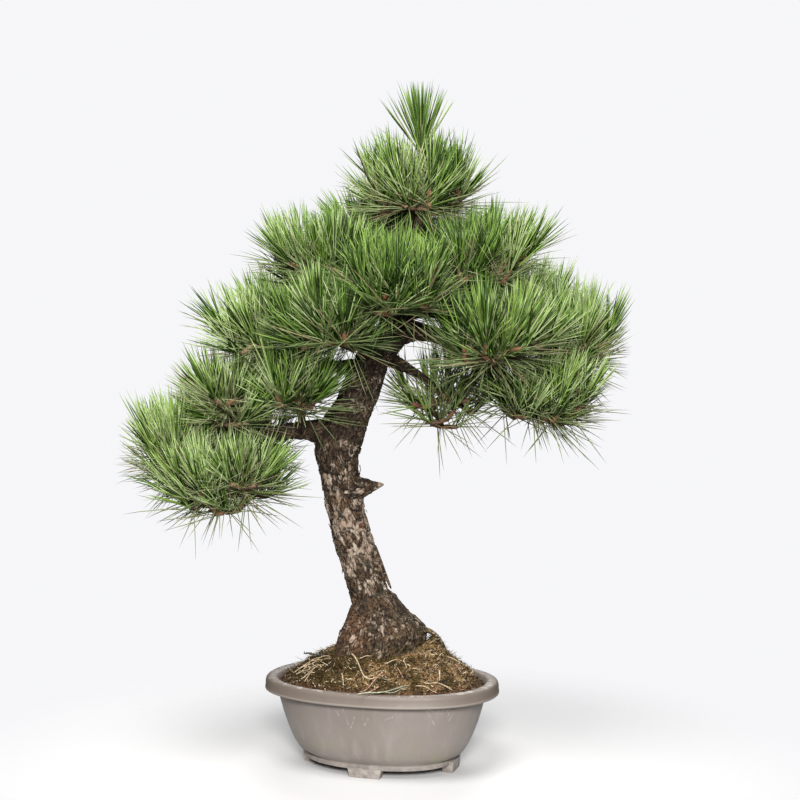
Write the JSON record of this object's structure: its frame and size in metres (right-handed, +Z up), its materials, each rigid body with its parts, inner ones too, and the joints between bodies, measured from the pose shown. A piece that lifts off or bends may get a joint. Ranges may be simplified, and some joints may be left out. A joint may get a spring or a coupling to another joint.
{
  "type": "bonsai tree",
  "caption": "Japanese black pine trained as a bonsai, with a curved trunk and tufts of long needles, in an oval plastic training pot.",
  "frame": {"origin": "on the ground, under the middle of the whole plant's extent from side to side and front to back", "axes": "+Z up, along the height of the tree; +X to the right of the pictured front view; +Y away from the viewer"},
  "size_m": [0.565, 0.3332, 0.7297],
  "materials": {
    "pot_plastic": "matte",
    "soil": "matte",
    "bark": "matte",
    "needles": "satin"
  },
  "bodies": {
    "root": {"pot": "pot_plastic", "soil_mound": "soil", "trunk": "bark", "dead_stub": "bark", "loop_root": "bark", "bough_left_low": "bark", "bough_left_inner": "bark", "bough_left_upper": "bark", "bough_left_drop": "bark", "bough_left_rear": "bark", "bough_mid_left": "bark", "bough_mid_front": "bark", "bough_mid_rear": "bark", "bough_upper_left": "bark", "bough_front": "bark", "bough_right": "bark", "bough_right_front": "bark", "bough_right_end": "bark", "bough_right_rear": "bark", "bough_upper_right": "bark", "bough_back_low": "bark", "bough_crown_rear": "bark", "bough_back_middle": "bark", "bough_upper_rear": "bark", "needles_apex": "needles", "needles_upper_left": "needles", "needles_upper_rear": "needles", "needles_front": "needles", "needles_upper_right": "needles", "needles_crown_rear": "needles", "needles_back_middle": "needles", "needles_right_rear": "needles", "needles_right_front": "needles", "needles_right_end": "needles", "needles_right_low": "needles", "needles_back_low": "needles", "needles_mid_left": "needles", "needles_mid_front": "needles", "needles_mid_rear": "needles", "needles_left_inner": "needles", "needles_left_upper": "needles", "needles_left_outer": "needles", "needles_left_low": "needles", "needles_left_rear": "needles"}
  },
  "joints": []
}
